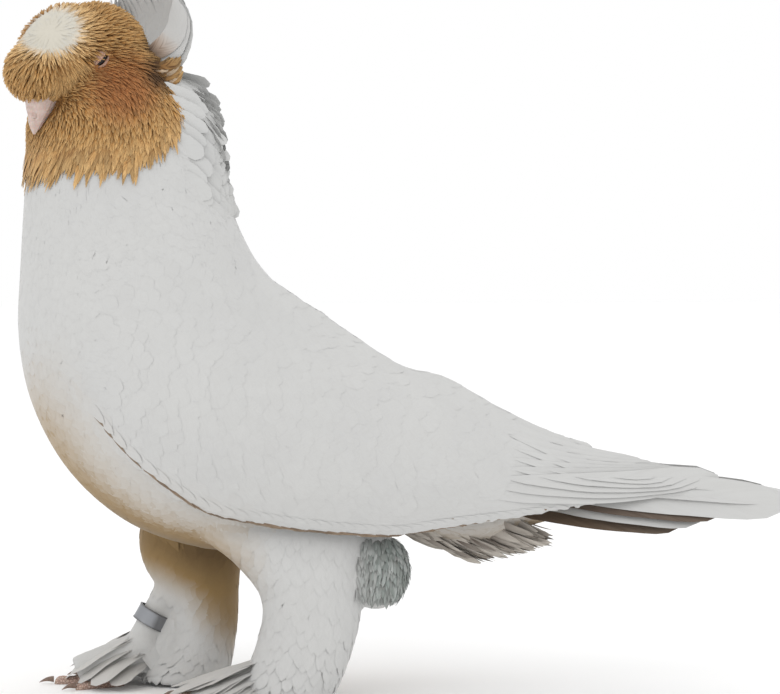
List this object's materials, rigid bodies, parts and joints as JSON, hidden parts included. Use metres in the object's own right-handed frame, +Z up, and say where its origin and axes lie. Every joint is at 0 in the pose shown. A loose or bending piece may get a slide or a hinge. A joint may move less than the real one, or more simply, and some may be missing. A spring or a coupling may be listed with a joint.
{
  "type": "botosani tumbler pigeon, still life-size model",
  "caption": "Still life-size model of a white Botosani tumbler pigeon with a brown head, crest, frontal tuft and feathered feet, head turned.",
  "frame": {"origin": "on the floor, under the middle of the bird's length and width", "axes": "+Z up; the bird's body faces -X and its left side faces -Y"},
  "size_m": [0.3406, 0.122, 0.3089],
  "materials": {
    "white_feather": "soft matte white contour feathers",
    "brown_feather": "soft matte golden brown feathers",
    "beak_horn": "satin pale pink horn",
    "claw_horn": "satin horn",
    "toe_skin": "scaled pinkish skin",
    "eye": "glossy dark eye",
    "band_metal": "satin, bare of any marking"
  },
  "bodies": {
    "root": {"torso": "white_feather", "neck": "white_feather", "head": "brown_feather", "beak_upper": "beak_horn", "beak_lower": "beak_horn", "eye_left": "eye", "eye_right": "eye", "wing_left": "white_feather", "wing_right": "white_feather", "tail": "white_feather", "thigh_left": "white_feather", "thigh_right": "white_feather", "muff_left": "white_feather", "muff_right": "white_feather", "toe_left_1": "toe_skin", "toe_left_2": "toe_skin", "toe_left_3": "toe_skin", "toe_left_4": "toe_skin", "toe_right_1": "toe_skin", "toe_right_2": "toe_skin", "toe_right_3": "toe_skin", "toe_right_4": "toe_skin", "claw_left_1": "claw_horn", "claw_left_2": "claw_horn", "claw_left_3": "claw_horn", "claw_left_4": "claw_horn", "claw_right_1": "claw_horn", "claw_right_2": "claw_horn", "claw_right_3": "claw_horn", "claw_right_4": "claw_horn", "leg_band": "band_metal"}
  },
  "joints": []
}
